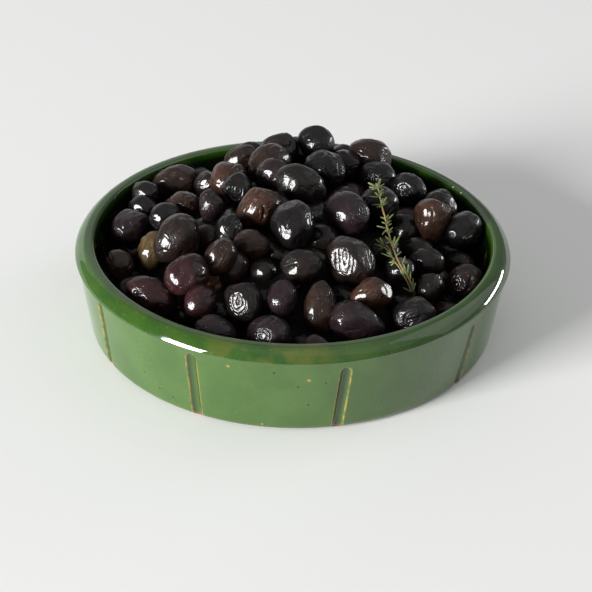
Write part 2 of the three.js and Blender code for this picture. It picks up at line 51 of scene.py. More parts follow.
DISH = Sizes(
    height=43.4,
    lip_inner=(5.0, 7.0),  # the lip's round towards the olives
    wall_top=(99.0, 37.5),
    brim=(99.95, 38.1),  # the lip's lower edge
    brim_faces=14,  # its angle in degrees
    # The lip's bends from there over to the inside: radius, last angle and steps.
    bends=[(4.7, 31, 5), (11.0, 55, 5), (3.5, 86, 5), (14.0, 94, 3), (1.8, 180, 9)],
    crease=(98.9, 36.6),  # radius and height
    foot_radius=90.6,
    foot_round=(4.2, 4.3),  # out and up
    inner_radius=90.0,
    inner_foot=86.5,
    floor=7.0,
    cove=14.0,
    recess=(80.0, 1.5, 1.2),  # radius, slope and depth
    hub=0.2,  # the innermost rings' radius
)
GROOVE = Sizes(width=4.8, depth=1.5, low=-3.0, softness=0.12)
# Each groove's place round the dish in degrees from the front, the height of its top, its lean.
GROOVES = [
    (-57.5, 36.4, 1.0), (-24.4, 35.6, -0.4), (13.0, 34.4, 1.4), (52.0, 33.0, 2.4), (88.0, 34.6, 0.8),
    (125.0, 35.8, -0.6), (161.0, 34.0, 1.2), (198.0, 35.2, 0.4), (233.0, 34.2, 1.8), (267.0, 35.6, -0.8),
]

# The heap is laid out as the camera sees it. Places are steps of a square window of 592.
EYE = Sizes(
    aim=np.array([1.88, 0.0, 8.36]), distance=686.9, tilt=32.12, roll=1.39, steps=1450.0, middle=296.0,
)
WINDOW = 592
SENSOR = 36.0

HEAP = Sizes(edge=34.0, rise=20.0, radius=80.0, back=8.0, sunk=7.0)
OLIVE = Sizes(plump=1.22, taper=0.1, softness=1.0)
SETTLE = Sizes(
    rounds=200, share=0.3, step=1.5, wall_step=3.0, pull=0.03, reach=36.0, steepest=0.25,
)
SIGHT = Sizes(nearest=560.0, farthest=760.0, tries=400, step=0.1)

# Each olive: its middle across and down the window, its length and thickness in steps, the turn of
# its length in degrees, and its colour. Last is how much it narrows towards one end, where that
# differs from the rest, below 0 where the upper end is the narrow one.
LOWER_OLIVES = [
    (298, 151, 30, 28, 0, "black"), (251, 153, 30, 26, 0, "dark"), (343, 158, 30, 28, 0, "black"),
    (202, 181, 30, 28, 0, "dark"), (146, 194, 30, 28, 0, "black"), (440, 202, 30, 28, 0, "black"),
    (345, 200, 32, 30, 0, "black"), (259, 192, 30, 28, 0, "black"), (201, 231, 30, 28, 0, "black"),
    (209, 238, 32, 28, 0, "brown"), (403, 230, 38, 34, 0, "black"), (322, 238, 34, 30, 0, "black"),
    (446, 250, 34, 30, 0, "black"), (384, 254, 36, 34, 0, "black"), (417, 252, 34, 30, 0, "black"),
    (460, 266, 32, 30, 0, "black"), (262, 272, 34, 32, 0, "black"), (215, 285, 28, 26, 90, "amber"),
    (343, 299, 32, 30, 0, "black"), (399, 306, 30, 28, 0, "black"), (447, 313, 30, 26, 0, "brown"),
    (218, 312, 32, 28, 0, "black"), (180, 316, 28, 26, 0, "black"), (302, 346, 32, 28, 0, "black"),
]
UPPER_OLIVES = [
    (317, 143, 40, 34, -30, "ink"), (279, 150, 42, 34, 15, "dark"),
    (369, 157, 48, 38, -20, "brown", -0.16), (242, 160, 38, 30, 20, "dark"),
    (345, 165, 36, 32, 0, "dark"), (174, 183, 50, 34, 20, "brown"), (209, 184, 30, 28, 0, "black"),
    (269, 166, 46, 43, 45, "brown"), (228, 179, 38, 36, 40, "chestnut"),
    (274, 174, 35, 31, 0, "purple"), (326, 171, 44, 41, -30, "ink", 0.2),
    (377, 179, 40, 37, 0, "ink"), (409, 190, 38, 35, -20, "ink"), (441, 207, 38, 30, -40, "black"),
    (144, 209, 32, 28, 0, "ink"), (185, 206, 33, 31, 0, "brown"), (238, 190, 37, 31, -75, "ink"),
    (300, 185, 54, 39, -20, "black"), (211, 206, 34, 26, 90, "purple"),
    (165, 218, 33, 31, 20, "ink"), (258, 209, 50, 39, 40, "chestnut", 0.2),
    (380, 206, 42, 40, 0, "black"), (347, 214, 49, 44, -30, "purple"),
    (432, 222, 48, 35, 85, "chestnut", 0.46), (469, 230, 40, 36, 30, "ink"),
    (130, 228, 42, 37, 35, "purple", 0.15), (293, 225, 50, 46, 90, "ink"),
    (229, 229, 32, 29, 90, "ink"), (153, 252, 42, 32, 70, "green"),
    (177, 240, 56, 44, 50, "dark", 0.16), (252, 245, 38, 32, 0, "brown"),
    (427, 263, 38, 32, 0, "black"), (351, 262, 57, 47, -50, "dark", 0.06),
    (302, 267, 45, 37, 0, "black"), (400, 271, 32, 30, 0, "ink"), (233, 268, 36, 30, 60, "brown"),
    (120, 264.5, 36, 30, -55, "brown", -0.1), (220, 257, 43, 33, 60, "brown"),
    (464, 281, 40, 32, 45, "dark"), (188, 274.5, 48, 42, 40, "maroon", -0.12),
    (430, 287, 32, 29, 60, "black"), (371, 295, 44, 34, 20, "chestnut", 0.18),
    (151, 297, 58, 40, -35, "maroon", -0.2), (243.5, 302.5, 45, 39, -70, "black"),
    (200, 302, 36, 32, 50, "maroon"), (282, 299, 40, 33, 90, "purple"),
    (321, 307, 56, 36, 90, "brown", -0.32), (413, 317, 50, 40, 15, "ink"),
    (318, 347, 36, 26, 0, "purple"), (358, 323, 58, 40, -15, "purple", 0.38),
    (269.5, 337, 46, 45, 0, "purple", 0.05), (216, 333, 46, 34, -20, "purple"),
]
LISTED = LOWER_OLIVES + UPPER_OLIVES
FILL = Sizes(
    pitch=18.5, jitter=3.0, reach=83.0, thickness=(14.0, 17.5), plump=(1.2, 1.4),
    slant=0.3, sink=20.0, sink_step=0.5, wall_gap=1.0, wall_shift=10.0, squeeze=2.0,
    outline=((0.0, 0.0), (0.0, 0.8), (-0.6, 0.5), (0.6, 0.5)), seed=20,
)

# What the skin of single olives shows, by its kind: its middle across and down the window, its
# radius in steps and the turn of its lines in degrees. Whorls and rings lie in a pressed flat, a
# gleam is a flat turned to the nearest light, and on one olive these are worked in first.
MARKS = {
    "whorl": [(344, 262, 14, 0), (456, 284, 7.5, 20)],
    "rings": [
        (237, 304, 12, 0), (122, 273, 8, 10), (238, 192, 10, 0), (362, 210, 9, 20),
        (342, 168, 6, 0), (262, 336, 10, 90), (404, 187, 9, 90), (367, 179, 9, 60),
        (385, 156, 8, 60), (402, 320, 8, 30), (229, 228, 6, 40),
    ],
    "gleam": [(384, 291, 7, 10)],
    "flat": [
        (293, 185, 6, 0), (342, 331, 7, 0), (163, 241, 6.5, 0), (125, 213, 10, 0),
        (318, 132, 10, 0), (326, 292, 9, 0), (272, 158, 9, 0), (358, 149, 8, 0), (277, 291, 8, 0),
    ],
    "dimple": [(362, 279, 8, 0), (444, 209, 7, 0), (307, 134, 6, 0)],
    "stripes": [
        (477, 269, 6, 50), (317, 180, 10, 60), (283, 211, 9, 50), (374, 312, 10, 60),
        (165, 209, 8, 90), (482, 226, 6, 80), (141, 290, 9, 50), (322, 157, 11, 30),
        (222, 246, 9, 35), (302, 254, 9, 90), (216, 326, 9, 80), (233, 177, 6, 20),
        (344, 245, 9, 80), (310, 207, 7, 60), (205, 211, 6, 0), (281, 141, 9, 70),
        (252, 155, 8, 80),
    ],
    "fold": [(265, 214, 9, 0)],
}

# ---------- numbers ----------

HASH = Sizes(axes=[374761393, 668265263, 1103515245], seed=974711, mix=1274126177)
WORD = 0xFFFFFFFF
PRIME = 2**31 - 1


def unit(vectors):
    return vectors / np.linalg.norm(vectors, axis=-1, keepdims=True)


def smooth(edge_0, edge_1, value):
    """0 below one edge and 1 above the other, with a smooth rise between."""
    share = np.clip((value - edge_0) / (edge_1 - edge_0), 0, 1)
    return share * share * (3 - 2 * share)


def noise(points, seed):
    """Smooth random numbers, mostly from -0.6 to 0.6, at the rows of an array of points."""
    cell = np.floor(points).astype(np.int64)
    part = points - cell
    fade = part**3 * (part * (part * 6 - 15) + 10)
    total = np.zeros(len(points))
    for corner in itertools.product((0, 1), repeat=3):
        mix = ((cell + corner) * HASH.axes).sum(1) + seed * HASH.seed & WORD
        mix = ((mix ^ (mix >> 13)) * HASH.mix) & WORD
        mix ^= mix >> 16
        slope = np.stack([mix >> shift & 1023 for shift in (0, 10, 20)], 1) / 511.5 - 1
        weight = np.prod(np.where(corner, fade, 1 - fade), 1)
        total += weight * (slope * (part - corner)).sum(1)
    return total


def each(groups):
    """Every row of a table with its rows grouped by kind, after its kind."""
    return [(kind, row) for kind, rows in groups.items() for row in rows]


def seeded_random(seed):
    """Repeatable random numbers from 0 to 1, drawn as the model draws them."""
    while True:
        seed = seed * 16807 % PRIME
        yield seed / PRIME


# ---------- the eye ----------

TILT = math.radians(EYE.tilt)
ROLL = math.radians(EYE.roll)
AHEAD = np.array([0, math.cos(TILT), -math.sin(TILT)])
UPRIGHT = np.array([0, math.sin(TILT), math.cos(TILT)])
LEVEL = np.array([1.0, 0, 0])
ACROSS = LEVEL * math.cos(ROLL) + UPRIGHT * math.sin(ROLL)
UPWARD = UPRIGHT * math.cos(ROLL) - LEVEL * math.sin(ROLL)
PLACE = EYE.aim - AHEAD * EYE.distance


def sight_line(across, down):
    """The sight line through a place in the window, for one millimetre of depth."""
    right = (across - EYE.middle) / EYE.steps
    up = (EYE.middle - down) / EYE.steps
    return AHEAD + ACROSS * right + UPWARD * up


def sight_to(point):
    line = point - PLACE
    return line / (line @ AHEAD)


def in_window(turn):
    """The direction that has a turn in degrees as the camera sees it."""
    angle = math.radians(turn)
    return ACROSS * math.cos(angle) + UPWARD * math.sin(angle)


def add(name, data):
    """A new object of the scene."""
    made = bpy.data.objects.new(name, data)
    bpy.context.scene.collection.objects.link(made)
    return made


def camera():
    data = bpy.data.cameras.new("camera")
    data.sensor_width = SENSOR
    data.lens = EYE.steps / WINDOW * SENSOR
    data.clip_start, data.clip_end = 0.05, 20
    shot = add("camera", data)
    turn = Matrix([ACROSS, UPWARD, -AHEAD]).transposed().to_4x4()
    shot.matrix_world = Matrix.Translation(Vector(PLACE * MM)) @ turn
    bpy.context.scene.camera = shot


# ---------- where the olives lie ----------


def dome_at(x, y):
    share = (x**2 + (y - HEAP.back) ** 2) / HEAP.radius ** 2
    return HEAP.edge + HEAP.rise * np.maximum(0, 1 - share)


def resting_depth(sight, sunk):
    """Where a sight line comes down to the dome, less `sunk`, or passes closest above it."""
    depths = np.linspace(SIGHT.nearest, SIGHT.farthest, SIGHT.tries + 1)
    points = PLACE + depths[:, None] * sight
    above = points[:, 2] - dome_at(points[:, 0], points[:, 1]) + sunk
    under = np.flatnonzero(above < 0)
    return depths[under[0]] if len(under) else depths[np.argmin(above)]


def inner_radius_at(height):
    """The radius of the dish's hollow at a height, from the cove up to the lip."""
    lip_start = DISH.height - DISH.lip_inner[1]
    cove_top = DISH.floor + DISH.cove
    share = np.clip((height - cove_top) / (lip_start - cove_top), 0, 1)
    return DISH.inner_foot + (DISH.inner_radius - DISH.inner_foot) * share


class Olives:
    """Places, axes and sizes of many olives, as arrays with a row for each."""

    def __init__(self, middle, axis, half, plump):
        self.middle, self.axis, self.half, self.plump = middle, axis, half, plump

    def take(self, other):
        self.middle = np.vstack([self.middle, other.middle])
        self.axis = np.vstack([self.axis, other.axis])
        self.half = np.append(self.half, other.half)
        self.plump = np.append(self.plump, other.plump)

    def reach(self, directions, rows=slice(None)):
        """How far the skin is from the middle in one direction for each row."""
        along = (directions * self.axis[rows]).sum(-1) ** 2
        half = self.half[rows]
        return 1 / np.sqrt(along / (half * self.plump[rows]) ** 2 + (1 - along) / half**2)

    def press(self, other, rows=slice(None), others=slice(None)):
        """How far olives are into others nearby."""
        between = self.middle[rows] - other.middle[others]
        distance = np.linalg.norm(between, axis=1)
        between /= distance[:, None]
        depth = self.reach(between, rows) + other.reach(between, others) - distance
        return np.where(distance <= SETTLE.reach, depth, 0)

    def wall_press(self):
        """How far olives are into the wall or the lip's round, and the way out of the dish."""
        x, y, z = self.middle.T
        radius = np.hypot(x, y)
        outward = np.stack([x / radius, y / radius, 0 * x], 1)
        reach = self.reach(outward) + CLEARANCE
        roll = DISH.lip_inner[0]
        lip_middle = DISH.height - roll
        crest = DISH.inner_radius + roll
        low = radius + reach - inner_radius_at(z)
        high = roll + reach - np.hypot(crest - radius, z - lip_middle)
        return outward, np.where(z <= lip_middle, low, high)

    def meets(self, sights, rows=slice(None)):
        """Depths where sight lines first meet each olive's skin: lines by olives, or infinity."""
        axis, half, plump = self.axis[rows], self.half[rows], self.plump[rows]

        def squash(vectors):
            along = (vectors * axis).sum(-1, keepdims=True)
            return (vectors - along * axis) / half[:, None] + along * axis / (half * plump)[:, None]

        start = squash(PLACE - self.middle[rows])
        way = squash(np.atleast_2d(sights)[:, None, :])
        square = (way**2).sum(-1)
        half_way = (start * way).sum(-1)
        room = half_way**2 - square * ((start**2).sum(-1) - 1)
        near = (-half_way - np.sqrt(np.maximum(room, 0))) / square
        return np.where(room < 0, np.inf, near)


def seen_olives():
    """The listed olives, settled until none presses far into another."""
    sights = np.array([sight_line(across, down) for across, down, *_ in LISTED])
    axes, plumps = [], []
    for (_, _, long, short, turn, *_), sight in zip(LISTED, sights):
        axis = in_window(turn)
        if axis @ UPWARD > 0:
            axis = -axis
        looks = long / short
        plump = max(OLIVE.plump, looks)
        flat = min(max((looks**2 - 1) / (plump**2 - 1), 0), 1)
        axes.append(unit(axis * math.sqrt(flat) - unit(sight) * math.sqrt(1 - flat)))
        plumps.append(plump)
    sunk = [HEAP.sunk] * len(LOWER_OLIVES) + [0.0] * len(UPPER_OLIVES)
    rest = np.array([resting_depth(*line) for line in zip(sights, sunk)])
    depth = rest.copy()
    half_steps = np.array([row[3] / 2 for row in LISTED])
    heap = Olives(None, np.array(axes), None, np.array(plumps))

    def place():
        heap.middle = PLACE + sights * depth[:, None]
        heap.half = half_steps * depth / EYE.steps

    place()
    far, near = np.triu_indices(len(LISTED), 1)
    for _ in range(SETTLE.rounds):
        squeeze = np.maximum(0, heap.press(heap, near, far) - OLIVE.softness)
        push = np.zeros(len(LISTED))
        np.add.at(push, near, -SETTLE.share * squeeze)
        np.add.at(push, far, SETTLE.share * squeeze)
        depth += np.clip(push, -SETTLE.step, SETTLE.step)
        depth += SETTLE.pull * (rest - depth)
        place()
        outward, press = heap.wall_press()
        slope = (sights * outward).sum(1)
        leads = (press > 0) & (np.abs(slope) > SETTLE.steepest)
        back = np.clip(press / np.where(leads, slope, 1), -SETTLE.wall_step, SETTLE.wall_step)
        depth -= np.where(leads, back, 0)
        place()
    outward, press = heap.wall_press()
    heap.middle -= outward * np.maximum(press, 0)[:, None]
    return heap


def behind_lip(point):
    """Whether the dish's front lip keeps the eye from seeing a point inside the dish."""
    line = point - PLACE
    share = (DISH.height - PLACE[2]) / line[2]
    crossing = PLACE + line * share
    crest = DISH.inner_radius + DISH.lip_inner[0]
    return share <= 1 and math.hypot(crossing[0], crossing[1]) > crest


def all_olives():
    """The listed olives and those that fill the gaps between them, placed as the model does."""
    heap = seen_olives()
    random = seeded_random(FILL.seed)

    def shift(most):
        return most * (next(random) - 0.5)

    def drawn(low, high):
        return low + (high - low) * next(random)

    pitch = FILL.pitch
    row_pitch = pitch * math.sin(math.pi / 3)
    rows = math.ceil(FILL.reach / row_pitch)
    columns = math.ceil(FILL.reach / pitch) + 1
    for row, column in itertools.product(range(-rows, rows + 1), range(-columns, columns + 1)):
        x = (column + math.fmod(row, 2) / 2) * pitch + shift(FILL.jitter)
        y = row * row_pitch + shift(FILL.jitter)
        turn = next(random) * math.pi
        axis = unit(np.array([[math.cos(turn), math.sin(turn), shift(FILL.slant)]]))
        half = np.array([drawn(*FILL.thickness) / 2])
        plump = np.array([drawn(*FILL.plump)])
        one = Olives(np.array([[x, y, 0.0]]), axis, half, plump)
        if finds_room(one, heap):
            heap.take(one)
    return heap


def finds_room(one, heap):
    """Lowers one more olive from the dome to the first free place, and tells if there is one."""
    x, y, _ = one.middle[0].tolist()
    for step in range(int(FILL.sink / FILL.sink_step) + 1):
        sink = step * FILL.sink_step
        one.middle[0] = (x, y, dome_at(x, y) - sink)
        outward, press = one.wall_press()
        shift = max(0, press[0] + FILL.wall_gap)
        one.middle -= outward * shift
        if shift > FILL.wall_shift:
            continue
        if one.press(heap).max() > FILL.squeeze:
            continue
        top = one.middle[0] + (0, 0, one.half[0])
        if behind_lip(top) or (sink >= HEAP.sunk and not hides(one, heap)):
            return True
    return False


def hides(one, heap):
    """Whether an olive would stand in front of listed ones, tried at places round its outline."""
    for right, up in FILL.outline:
        sight = sight_to(one.middle[0] + (ACROSS * right + UPWARD * up) * one.half[0])
        first = heap.meets(sight, slice(0, len(LISTED))).min()
        if first < np.inf and one.meets(sight)[0, 0] < first:
            return True
    return False


# ---------- pieces ----------


def piece(name, points, triangles, material, slot, tint=None):
    """A mesh piece of the object, from points in millimetres, with a tint for each point."""
    mesh = bpy.data.meshes.new(name)
    mesh.from_pydata(points * MM, [], triangles, shade_flat=False)
    mesh.validate()
    if tint is not None:
        layer = mesh.color_attributes.new("tint", "FLOAT_COLOR", "POINT")
        if tint.shape[1] == 3:
            tint = np.hstack([tint, np.ones((len(tint), 1))])
        layer.data.foreach_set("color", tint.astype(np.float32).ravel())
    mesh.materials.append(material)
    made = add(name, mesh)
    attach(made, "root")
    return made


def join(parts):
    """One array of points, triangles and tints from many."""
    starts = np.cumsum([0] + [len(points) for points, _, _ in parts])
    points = np.vstack([part[0] for part in parts])
    triangles = np.vstack([part[1] + start for part, start in zip(parts, starts)])
    return points, triangles, np.vstack([part[2] for part in parts])


class Paint:
    """A material's nodes, each made by one call."""

    def __init__(self, name):
        self.material = bpy.data.materials.new(name)
        self.material.use_nodes = True
        self.tree = self.material.node_tree
        self.shader = self.tree.nodes["Principled BSDF"]
        self.place = self.make("ShaderNodeNewGeometry").outputs["Position"]

    def make(self, kind, settings=None, **inputs):
        """A node with settings, and inputs named as on its sockets with _ for a space."""
        node = self.tree.nodes.new(kind)
        for key, value in (settings or {}).items():
            setattr(node, key, value)
        self.set(node, **inputs)
        return node

    def set(self, node, **inputs):
        for key, value in inputs.items():
            socket = node.inputs[int(key[1:]) if key[1:].isdigit() else key.replace("_", " ")]
            if isinstance(value, bpy.types.NodeSocket):
                self.tree.links.new(value, socket)
            else:
                socket.default_value = value

    def noise(self, scale, detail=2.0, roughness=0.5, distortion=0.0):
        """Noise with cells of about one over `scale` millimetres."""
        node = self.make(
            "ShaderNodeTexNoise", Vector=self.place, Scale=scale / MM, Detail=detail,
            Roughness=roughness, Distortion=distortion,
        )
        return node.outputs["Fac"]

    def away(self, spot):
        """The distance from a point given in millimetres, in metres."""
        settings = {"operation": "DISTANCE"}
        node = self.make("ShaderNodeVectorMath", settings, _0=self.place, _1=spot * MM)
        return node.outputs["Value"]

    def ramp(self, value, low, high, to_low=0.0, to_high=1.0):
        settings = {"interpolation_type": "SMOOTHSTEP"}
        node = self.make("ShaderNodeMapRange", settings, Value=value, From_Min=low, From_Max=high)
        self.set(node, To_Min=to_low, To_Max=to_high)
        return node.outputs["Result"]

    def math(self, operation, first, second):
        return self.make("ShaderNodeMath", {"operation": operation}, _0=first, _1=second).outputs[0]

    def mix(self, share, first, second):
        """Two colours mixed by a share."""
        node = self.make("ShaderNodeMix", {"data_type": "RGBA"}, _0=share, _6=first, _7=second)
        return node.outputs[2]

    def tint(self, channel="Color"):
        return self.make("ShaderNodeVertexColor", {"layer_name": "tint"}).outputs[channel]

    def bump(self, height, distance, strength, under=None):
        node = self.make("ShaderNodeBump", Height=height, Distance=distance * MM, Strength=strength)
        if under is not None:
            self.set(node, Normal=under)
        return node.outputs["Normal"]


def linear(red, green, blue):
    """The linear colour of a screen colour, with an alpha of 1."""
    channels = [value / 255 for value in (red, green, blue)]
    return [c / 12.92 if c <= 0.04045 else ((c + 0.055) / 1.055) ** 2.4 for c in channels] + [1.0]


def tone_of(colour):
    """The linear colour of a screen colour, for a tint."""
    return np.array(linear(*colour)[:3])


# ---------- the dish ----------


def arc(middle, radii, first, last, steps):
    angles = np.radians(np.linspace(first, last, steps + 1))
    return np.array(middle) + np.array(radii) * np.stack([np.cos(angles), np.sin(angles)], 1)


def bent_run(start, angle, bends):
    """An outline of arcs that run on from each other, from a point that faces one angle."""
    outline = np.array([start])
    for radius, last, steps in bends:
        way = np.radians(angle)
        middle = outline[-1] - radius * np.array([math.cos(way), math.sin(way)])
        outline = np.vstack([outline, arc(middle, (radius, radius), angle, last, steps)[1:]])
        angle = last
    return outline


def stretch(start, end, steps):
    return np.linspace(start, end, steps + 1)[1:]


def halves(a, b, c, d):
    """Two triangles for each four-sided face, from arrays of its corners."""
    return np.vstack([np.stack(corners, -1).reshape(-1, 3) for corners in ((a, b, c), (a, c, d))])


def rings(points, poles):
    """A closed skin over the rings of a grid of points, from one pole to the other."""
    rows, columns = points.shape[:2]
    count = rows * columns
    index = np.arange(count).reshape(rows, columns)
    beside = np.roll(index, -1, 1)
    between = halves(index[:-1], beside[:-1], beside[1:], index[1:])
    first = np.stack([beside[0], index[0], np.full(columns, count)], 1)
    last = np.stack([index[-1], beside[-1], np.full(columns, count + 1)], 1)
    return np.vstack([points.reshape(-1, 3), poles]), np.vstack([between, first, last])


def dish_profile():
    """Radius and height, from the foot's middle out, up and over to the floor's middle."""
    recess, slope, depth = DISH.recess
    out, up = DISH.foot_round
    foot, inner, hub = DISH.foot_radius, DISH.inner_foot, DISH.hub
    cove, floor = DISH.cove, DISH.floor
    lip = bent_run(DISH.brim, DISH.brim_faces, DISH.bends)
    return np.vstack([
        stretch((hub, depth), (recess, depth), 4),
        stretch((recess, depth), (recess + slope, 0), 2),
        stretch((recess + slope, 0), (foot, 0), 2),
        arc((foot, up), (out, up), -90, 0, 8)[1:],
        stretch((foot + out, up), DISH.wall_top, 44),
        lip,
        stretch(lip[-1], (inner, floor + cove), 8),
        arc((inner - cove, floor + cove), (cove, cove), 0, -90, 8)[1:],
        stretch((inner - cove, floor), (hub, floor), 5),
    ])


def dish_angles():
    """Angles round the dish, close together at the grooves, in degrees from the front."""
    spread, close, even = 3.4, 40, 0.75
    places = np.array([place for place, _, _ in GROOVES])
    offsets = np.linspace(-spread, spread, close + 1)
    dense = (places[:, None] + offsets).ravel() % 360
    regular = np.arange(0, 360, even)
    apart = np.abs((regular[:, None] - places + 180) % 360 - 180).min(1)
    return np.radians(np.sort(np.concatenate([dense, regular[apart > spread + even / 2]])))


def cut_grooves(radius, height, angle):
    """The wall's radius with the grooves cut in, the distance from the nearest groove's edge."""
    width, depth, softness = GROOVE.width, GROOVE.depth, GROOVE.softness
    bit = (width**2 / 4 + depth**2) / (2 * depth)  # the cutter's radius
    out, up = DISH.foot_round
    wall_foot = DISH.foot_radius + out
    flare = (DISH.crease[0] - wall_foot) / (DISH.crease[1] - up)
    from_edge = np.full(radius.shape, FAR)
    outward = np.stack([np.sin(angle), -np.cos(angle)], -1)
    for place, top, lean in GROOVES:
        ends = []
        for level, turn in ((GROOVE.low, -lean / 2), (top - bit, lean / 2)):
            around = math.radians(place + turn)
            reach = wall_foot + flare * (level - up) + bit - depth
            ends.append(np.array([reach * math.sin(around), -reach * math.cos(around), level]))
        low, high = ends
        share = np.clip((height - low[2]) / (high[2] - low[2]), 0, 1)[..., None]
        axis = low + (high - low) * share
        along = (outward * axis[..., :2]).sum(-1)
        aside = np.sqrt(np.maximum((axis[..., :2] ** 2).sum(-1) - along**2, 0))
        off = np.hypot(aside, height - axis[..., 2])
        cut = along - np.sqrt(np.maximum(bit**2 - off**2, 0))
        blend = -softness * np.logaddexp(-radius / softness, -cut / softness)
        wall = (along > 0) & (height < DISH.crease[1]) & (radius > DISH.recess[0])
        radius = np.where(wall & (off < bit), np.minimum(radius, blend), radius)
        edge = np.where(wall, off - width / 2, FAR)
        from_edge = np.where(np.abs(edge) < np.abs(from_edge), edge, from_edge)
    return radius, from_edge


def on_dish(across, down):
    """Where the sight line through a place in the window first meets the dish."""
    depths = np.arange(SIGHT.nearest, SIGHT.farthest, SIGHT.step)
    points = PLACE + sight_line(across, down) * depths[:, None]
    radius, height = np.hypot(points[:, 0], points[:, 1]), points[:, 2]
    profile = dish_profile()
    crest = int(np.argmax(profile[:, 1]))
    foot = int(np.argmax(profile[:, 0] >= DISH.foot_radius))
    sides = profile[foot:crest + 1], profile[crest:][::-1]
    outer, inner = [np.interp(height, side[:, 1], side[:, 0]) for side in sides]
    met = (height > 0) & (height < DISH.height) & (inner < radius) & (radius < outer)
    return points[np.argmax(met)]


# Where a part of the dish sets in, from none to all: heights, distances from a groove's edge for the
# arris and the groove, and radii for the wall and the base.
# The inside heights set where the painted shade on the inner wall begins.
EDGES = {
    "inside": (42.0, 39.6), "lip": (37.4, 38.2), "foot": (0.5, 0.1), "clay": (2.4, 1.2),
    "above_foot": (2, 8), "arris": (0.12, 0.42), "groove": (0.1, -0.6), "wall": (70, 90),
    "base": (60, 80),
}
WOBBLE = Sizes(depth=0.35, waves=1.7)


def dish():
    profile = dish_profile()
    radius, height, angle = np.broadcast_arrays(profile[:, :1], profile[:, 1:], dish_angles())
    radius, from_edge = cut_grooves(radius, height, angle)
    around = np.stack([np.sin(angle), -np.cos(angle), 0 * angle], -1)

    def uneven(places, seed):
        return noise(places.reshape(-1, 3), seed).reshape(angle.shape)

    def between(edges, value=height):
        return smooth(*EDGES[edges], value)

    wobble = WOBBLE.depth * uneven(around * WOBBLE.waves + (0, 0, 5), 4)
    outside = between("wall", radius) * between("above_foot")
    points = around * (radius + wobble * outside)[..., None]
    points[..., 2] = height
    # The tint's channels: bare arris, deep glaze pooled in the grooves together with painted shade over
    # the whole inside, clay, thin glaze on the lip.
    crest = int(np.argmax(profile[:, 1]))
    # Painted shade: the inside darkens to near black from just under the lip's round, down over the wall
    # and floor.
    inside = (np.arange(len(profile)) > crest)[:, None] * between("inside")
    ragged = 1 + 0.5 * uneven(points / 1.7, 8)
    arris = 1 - between("arris", np.abs(from_edge - 0.05) * ragged)
    groove = between("groove", from_edge)
    clay = np.maximum(between("foot") * between("base", radius), groove * between("clay"))
    tint = np.stack([arris, np.maximum(0.3 * groove, inside), clay, between("lip")], -1)
    tint = np.vstack([tint.reshape(-1, 4), np.zeros((2, 4))])
    poles = [(0, 0, DISH.recess[2]), (0, 0, DISH.floor)]
    made = piece("dish_glazed", *rings(points, poles), glaze(), "green_glaze", tint)
    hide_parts("dish")


# Small marks in the glaze: across and down the window, and radius in millimetres.
GLAZE_MARKS = {
    "clay": [(95.5, 245, 1.5)],
    "tan": [(309, 380.5, 0.9), (228, 366, 0.7), (262, 424, 0.6)],
    "pit": [
        (145, 372, 0.5), (160, 388, 0.5), (173, 397, 0.5), (274, 373, 0.6), (298, 387, 0.5),
        (308, 405, 0.5), (326, 383, 0.5),
    ],
    "pale": [(453, 187, 0.5), (461, 193, 0.6)],
}
# Screen colours of the glaze. The deep one is glaze pooled in the grooves and painted shade over the
# inside of the dish.
GLAZE = {
    "green": (52, 81, 27), "light_green": (60, 89, 34), "lip": (31, 64, 11), "light_lip": (41, 73, 12),
    "ochre": (72, 78, 20), "speck": (110, 128, 60), "deep": (12, 20, 8), "arris": (150, 122, 58),
    "foot": (104, 66, 40), "clay": (150, 80, 40), "tan": (150, 112, 62), "pit": (24, 44, 14),
    "pale": (190, 190, 160),
}
# The lip turns to ochre round this place in the window, between these distances in metres.
OCHRE = Sizes(place=(272, 355), near=0.014, far=0.034)


def glaze():
    """Glossy green glaze: thinner and yellower on the lip, ochre on arrises, brown bare clay, deep glaze
    pooled in the grooves and painted shade inside the dish.
    """
    paint = Paint("green_glaze")
    colour = {name: linear(*value) for name, value in GLAZE.items()}
    worn, deep, bare = paint.make("ShaderNodeSeparateColor", Color=paint.tint()).outputs
    cloud = paint.ramp(paint.noise(0.05, 3.0, 0.55), 0.35, 0.65)
    speck = paint.noise(0.9, 2.0, 0.6)
    lip = paint.mix(cloud, colour["lip"], colour["light_lip"])
    near = paint.ramp(paint.away(on_dish(*OCHRE.place)), OCHRE.near, OCHRE.far, 1.0, 0.15)
    ochre = paint.math("MULTIPLY", paint.ramp(paint.noise(0.1), 0.42, 0.66, 0.0, 0.8), near)
    lip = paint.mix(ochre, lip, colour["ochre"])
    body = paint.mix(cloud, colour["green"], colour["light_green"])
    body = paint.mix(paint.tint("Alpha"), body, lip)
    body = paint.mix(paint.ramp(speck, 0.62, 0.8, 0.0, 0.35), body, colour["speck"])
    # Deep glaze pooled in the grooves, and painted shade darkening the inside of the dish.
    body = paint.mix(deep, body, colour["deep"])
    worn = paint.math("MULTIPLY", worn, paint.ramp(paint.noise(0.35), 0.35, 0.6, 0.15, 0.9))
    body = paint.mix(worn, body, colour["arris"])
    body = paint.mix(bare, body, colour["foot"])
    for kind, (across, down, size) in each(GLAZE_MARKS):
        ragged = paint.math("MULTIPLY", speck, size * 0.8 * MM)
        edge = paint.math("ADD", paint.away(on_dish(across, down)), ragged)
        share = paint.ramp(edge, size * 1.1 * MM, size * 1.5 * MM, 1.0, 0.0)
        body = paint.mix(share, body, colour[kind])
    rough = paint.ramp(paint.noise(0.15, 3.0), 0.3, 0.7, 0.04, 0.1)
    rough = paint.mix(bare, rough, (0.7, 0.7, 0.7, 1.0))
    swell = paint.bump(paint.noise(0.03, 1.0), 0.5, 0.4)
    fine = paint.bump(paint.noise(0.6), 0.02, 0.25, swell)
    paint.set(paint.shader, Base_Color=body, Roughness=rough, Normal=fine, IOR=1.75)
    return paint.material


# ---------- the olives ----------

